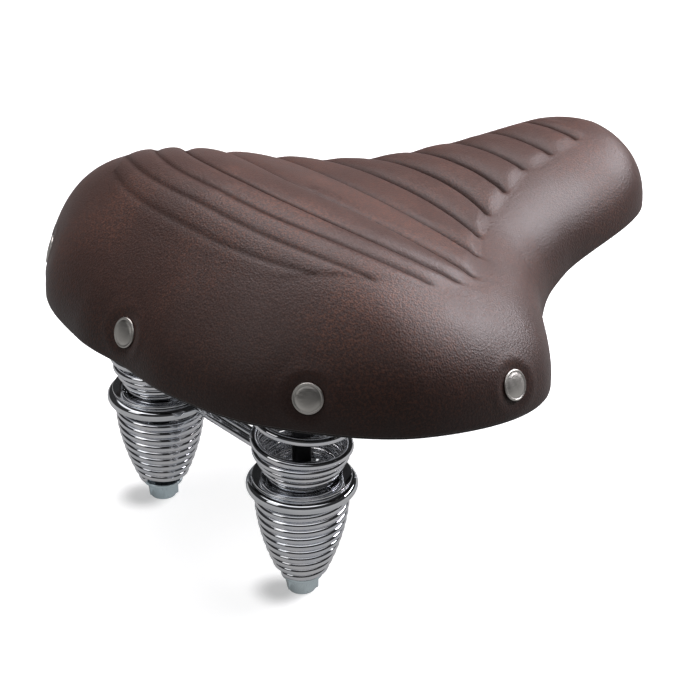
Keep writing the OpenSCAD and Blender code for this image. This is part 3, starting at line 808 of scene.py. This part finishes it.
def thread_profile(r, low, high, pitch=1.25):
    """Shank profile whose thread is a row of separate ridges."""
    out = [(0.01, low), (r - 1.2, low), (r - 0.5, low + 0.6)]
    z = low + 0.8
    while z < high - pitch:
        out += [(r - 0.45, z), (r - 0.02, z + pitch * 0.45), (r - 0.02, z + pitch * 0.55)]
        z += pitch
    return out + [(r, high)]


def spring_hardware(side, word):
    """Bolt, washer and nut on one spring's axis."""
    centre = at_spring(side)
    nut = lock_nut(f"nut_{word}", centre + (0, 0, NUT_Z), (0, 0, -1))
    hand_over(nut, ZINC, SEAT, "zinc", f"spring_nut_{word}")
    washer = lathe(
        f"washer_{word}",
        rounded([(4.3, WASHER_Z - WASHER_T), (9, WASHER_Z - WASHER_T), (9, WASHER_Z), (4.3, WASHER_Z)], 0.4),
        centre, sides=96,
    )
    hand_over(washer, ZINC, SEAT, "zinc", f"spring_washer_{word}")
    top = PLATE_Z + PLATE_T + 0.1
    bottom = NUT_Z - NUT_H + 0.5
    profile = thread_profile(BOLT_D / 2, bottom, bottom + 22) + [(BOLT_D / 2, top + 1), (0.01, top + 1)]
    shank = lathe("bolt_shank", profile, centre, sides=48, closed=False)
    head = place(new_piece("bolt_head", *hex_body(0, 5, 0)), centre + (0, 0, top), (0, 0, 1))
    bolt = crisp(joined(f"post_bolt_{word}", [shank, head]))
    hand_over(bolt, BOLT_SHADE_STEEL, SEAT, "black_steel", f"spring_bolt_{word}")


# ---------- under-frame ----------


def bar(ahead, word):
    """Round cross bar between the loops, with a rounded swelling at each end."""
    half_l = SPRING_Y - math.sqrt((RING_R + 1) ** 2 - ahead**2)
    bar_r, ball_r = 2.0, 2.5
    turns = np.linspace(0.95, math.pi - 0.02, 14)
    ball = [(ball_r * math.sin(a), half_l - ball_r * math.cos(a)) for a in turns]
    profile = [(bar_r, 0), (bar_r, half_l - 2.4)] + ball
    profile = [(x, -h) for x, h in profile[::-1]] + profile[1:]
    piece = lathe(f"rod_{word}", profile, (SPRING_X + ahead, 0, 0), (0, 1, 0), 40, closed=False)
    hand_over(piece, CHROME, FRAME, "frame_chrome", f"cross_bar_{word}")


def rail_path(side):
    """Rail from rear to nose: flare, clamp stretch, climb and a short level end."""
    rise = PIVOT_Z / math.cos(RAIL_LEAN)
    slant = (rise - 2 * RAIL_BEND_R * (1 - math.cos(RAIL_CLIMB))) / math.sin(RAIL_CLIMB)
    top_x = CLAMP_L / 2 + 2 * RAIL_BEND_R * math.sin(RAIL_CLIMB) + slant * math.cos(RAIL_CLIMB)

    def flare(a, l):
        x = -CLAMP_L / 2 - FLARE_R * math.sin(a) - l * math.cos(a)
        return x, RAIL_GAP / 2 + FLARE_R * (1 - math.cos(a)) + l * math.sin(a), 0

    def climb(x, h):
        return x, RAIL_GAP / 2 - h * math.sin(RAIL_LEAN), h * math.cos(RAIL_LEAN)

    path = [flare(FLARE, l) for l in np.linspace(FLARE_L, 1, 14)]
    path += [flare(a, 0) for a in np.linspace(FLARE, 0, 7)]
    path += [(x, RAIL_GAP / 2, 0) for x in np.linspace(-CLAMP_L / 2, CLAMP_L / 2, 28)[1:-1]]
    bends = np.linspace(0, RAIL_CLIMB, 14)
    path += [climb(CLAMP_L / 2 + RAIL_BEND_R * math.sin(a), RAIL_BEND_R * (1 - math.cos(a))) for a in bends]
    bends = bends[::-1]
    path += [climb(top_x - RAIL_BEND_R * math.sin(a), rise - RAIL_BEND_R * (1 - math.cos(a))) for a in bends]
    path.append(climb(PIVOT_X - TUBE_D / 2 + 1, rise))
    return np.array(path) * (1, side, 1)


def under_frame():
    """Rails, loops, springs and their hardware, cross bars and nose tube."""
    for side, word in ((1, "left"), (-1, "right")):
        rail = sweep(f"seat_rail_{word}", rail_path(side), RAIL_D / 2 - 0.02, 32)
        hand_over(rail, CHROME, FRAME, "frame_chrome", f"rail_{word}")
        ring(side, word)
        dish(side, word)
        upper_spring(side, word)
        lower_spring(side, word)
        spring_hardware(side, word)
    bar(4.5, "rear")
    bar(9.8, "front")
    bore, wall, end = BOLT_D / 2 + 0.08, TUBE_D / 2, TUBE_HALF_L
    tube = rounded([(bore, -end), (wall, -end), (wall, end), (bore, end)], 0.6)
    piece = lathe("nose_tube", tube, (PIVOT_X, 0, PIVOT_Z), (0, 1, 0), 64)
    hand_over(piece, CHROME, FRAME, "frame_chrome", "pivot_tube")


def nose_hardware():
    """Bolt and nut that the nose turns on."""
    outer_y = CHEEK_Y + BRACKET_T + 0.1
    nut = lock_nut("nut_nose", (PIVOT_X, outer_y, PIVOT_Z), (0, 1, 0))
    hand_over(nut, ZINC, SEAT, "zinc", "nose_nut")
    r, tip = BOLT_D / 2, outer_y + 8
    profile = [(0.01, -outer_y), (r, -outer_y), (r, tip - 0.5), (r - 0.5, tip), (0.01, tip)]
    shank = lathe("nose_shank", profile, (PIVOT_X, 0, PIVOT_Z), (0, 1, 0), 48, closed=False)
    head = place(new_piece("nose_head", *hex_body(0, 5.3, 0)), (PIVOT_X, -outer_y, PIVOT_Z), (0, -1, 0))
    hand_over(crisp(joined("bolt_nose", [shank, head])), ZINC, SEAT, "zinc", "nose_bolt")


def bevelled_copy(node, name, width, material, slot):
    """A copy of a CAD node's mesh with softened edges."""
    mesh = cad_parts[node].data.copy()
    piece = bpy.data.objects.new(name, mesh)
    bpy.context.collection.objects.link(piece)
    bm = bmesh.new()
    bm.from_mesh(mesh)
    bmesh.ops.remove_doubles(bm, verts=bm.verts, dist=1e-6)
    bmesh.ops.dissolve_limit(bm, angle_limit=math.radians(3), verts=bm.verts, edges=bm.edges)
    sharp = [e for e in bm.edges if len(e.link_faces) == 2 and e.calc_face_angle() > math.radians(35)]
    bmesh.ops.bevel(
        bm, geom=sharp, offset=width * MM, segments=2, profile=0.6, affect="EDGES", clamp_overlap=True
    )
    bm.to_mesh(mesh)
    bm.free()
    mesh.polygons.foreach_set("use_smooth", np.full(len(mesh.polygons), True))
    crisp(piece, 40)
    hand_over(piece, material, SEAT, slot, node)


def dress_cad_nodes():
    """Materials for the CAD nodes that stay."""
    materials = {"rivet_washers": NICKEL, "plate_screws": BLACK_STEEL, "bracket_screws": BLACK_STEEL}
    for node, material in materials.items():
        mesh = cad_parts[node].data
        mesh.materials.clear()
        mesh.materials.append(material)


# ---------- studio ----------

# The camera looks at AIM; angles are in degrees, the azimuth from +X towards +Y
AIM = Vector((-29.1, -4.5, 21.5))
CAMERA_DISTANCE, LOOK_AZIMUTH, LOOK_DOWN, CAMERA_ROLL = 900, 48.71, 27.77, 0.63
LENS = 103.6
# The nuts stand on the floor at rest
FLOOR_Z = NUT_Z - NUT_H - 0.05
FLOOR_HALF, WALL_R, WALL_H = 6000, 5000, 5000
# A soft shadow is painted on the floor beside each nut, this far from the nut's axis
SHADOW_SHIFT = np.array([-8, 5, 0])
# Brightness of the surroundings by the sine of the height above the horizon
SKY = [(0, 0.03), (0.6, 0.03), (0.68, 1.1), (0.78, 1.1), (0.86, 0.03), (1, 0.03)]


def look_frame(azimuth, down, roll=0.0):
    """Right, up and forward of a view that looks along azimuth from +X and down below the horizon."""
    a, d, r = (math.radians(v) for v in (azimuth, down, roll))
    forward = Vector((math.cos(a) * math.cos(d), math.sin(a) * math.cos(d), -math.sin(d)))
    flat_right = Vector((math.sin(a), -math.cos(a), 0))
    flat_up = flat_right.cross(forward)
    right = math.cos(r) * flat_right + math.sin(r) * flat_up
    up = math.cos(r) * flat_up - math.sin(r) * flat_right
    return right, up, forward


def camera():
    """Camera at the main viewing angle."""
    right, up, forward = look_frame(LOOK_AZIMUTH, LOOK_DOWN, CAMERA_ROLL)
    data = bpy.data.cameras.new("camera")
    data.lens = LENS
    data.clip_start, data.clip_end = 0.05, 20
    obj = bpy.data.objects.new("camera", data)
    spin = Matrix((right, up, -forward)).transposed().to_4x4()
    obj.matrix_world = Matrix.Translation((AIM - forward * CAMERA_DISTANCE) * MM) @ spin
    bpy.context.collection.objects.link(obj)
    bpy.context.scene.camera = obj


def area_light(name, azimuth, elevation, distance, size, power, colour=(1, 1, 1)):
    """Soft box that shines at the saddle; azimuth is where it stands, from +X towards +Y."""
    data = bpy.data.lights.new(name, "AREA")
    data.shape = "RECTANGLE"
    data.size, data.size_y = size
    data.energy, data.color = power, colour
    obj = bpy.data.objects.new(name, data)
    a, e = math.radians(azimuth), math.radians(elevation)
    away = Vector((math.cos(a) * math.cos(e), math.sin(a) * math.cos(e), math.sin(e)))
    obj.location = AIM * MM + away * distance
    obj.rotation_mode = "QUATERNION"
    obj.rotation_quaternion = away.to_track_quat("Z", "Y")
    bpy.context.collection.objects.link(obj)


def floor():
    """Floor that looks white, sends little light back up, and has a soft shadow painted at each nut."""
    m = Nodes("pale_floor")
    ray = m.add("ShaderNodeLightPath")
    seen = ray.outputs["Is Camera Ray"]
    shadow = 1.0
    for side in (1, -1):
        centre = (at_spring(side, FLOOR_Z) + SHADOW_SHIFT) * MM
        away = m.add("ShaderNodeVectorMath", i0=m.place, i1=tuple(centre))
        away.operation = "DISTANCE"
        shadow = m.math("MULTIPLY", m.remap(away.outputs["Value"], 0.003, 0.016, 0.5, 1.0), shadow)
    glow = m.math("ADD", m.math("MULTIPLY", seen, 0.8), m.math("MULTIPLY", ray.outputs["Is Glossy Ray"], 0.3))
    shade = m.mix(seen, (0.08, 0.08, 0.08, 1), (0.6, 0.6, 0.6, 1))
    m.surface(Base_Color=m.mix(shadow, (0.1, 0.1, 0.1, 1), shade), Roughness=0.9, Specular_IOR_Level=0.0)
    m.surface(Emission_Color=(1, 1, 1, 1), Emission_Strength=m.math("MULTIPLY", glow, shadow))
    half = FLOOR_HALF
    points = [(x, y, FLOOR_Z) for x, y in ((-half, -half), (half, -half), (half, half), (-half, half))]
    piece = new_piece("floor", points, [np.arange(4)[None]])
    piece.data.materials.append(m.material)


def backdrop():
    """White wall all round, which only the camera sees."""
    m = Nodes("white_wall")
    seen = m.add("ShaderNodeLightPath").outputs["Is Camera Ray"]
    white = m.add("ShaderNodeEmission", Strength=1.0)
    clear = m.add("ShaderNodeBsdfTransparent")
    shader = m.add("ShaderNodeMixShader", i0=seen, i1=clear.outputs[0], i2=white.outputs[0])
    output = m.tree.nodes["Material Output"]
    m.tree.links.new(shader.outputs[0], output.inputs["Surface"])
    wall = [(WALL_R, FLOOR_Z - 60), (WALL_R, WALL_H)]
    piece = lathe("backdrop", wall, (0, 0, 0), closed=False)
    piece.data.materials.append(m.material)


def studio():
    """Camera, floor, wall, surroundings and lights."""
    camera()
    floor()
    backdrop()
    world = bpy.data.worlds.new("studio")
    world.use_nodes = True
    nodes, links = world.node_tree.nodes, world.node_tree.links
    split = nodes.new("ShaderNodeSeparateXYZ")
    links.new(nodes.new("ShaderNodeTexCoord").outputs["Generated"], split.inputs[0])
    band = nodes.new("ShaderNodeValToRGB")
    links.new(split.outputs["Z"], band.inputs[0])
    band.color_ramp.interpolation = "EASE"
    while len(band.color_ramp.elements) < len(SKY):
        band.color_ramp.elements.new(0.5)
    for stop, (place_on, level) in zip(band.color_ramp.elements, SKY):
        stop.position = place_on
        stop.color = (level, level, 1.03 * level, 1)
    links.new(band.outputs["Color"], nodes["Background"].inputs["Color"])
    bpy.context.scene.world = world
    area_light("overhead", 75, 70, 0.9, (0.8, 0.6), 7, (1, 0.95, 0.98))
    area_light("front_key", -14, 36, 1.0, (0.8, 0.55), 14, (1, 0.97, 1.02))
    area_light("left_strip", 172, 32, 1.0, (0.4, 0.6), 0.7)
    bpy.context.scene.view_settings.view_transform = "Standard"


leather_cover()
hem_lip()
foam_cushion()
pan()
rivets()
under_frame()
nose_hardware()
bevelled_copy("spring_plate", "pressed_plate", 0.5, BLACK_STEEL, "black_steel")
bevelled_copy("nose_bracket", "pressed_bracket", 0.5, BLACK_STEEL, "black_steel")
dress_cad_nodes()
studio()
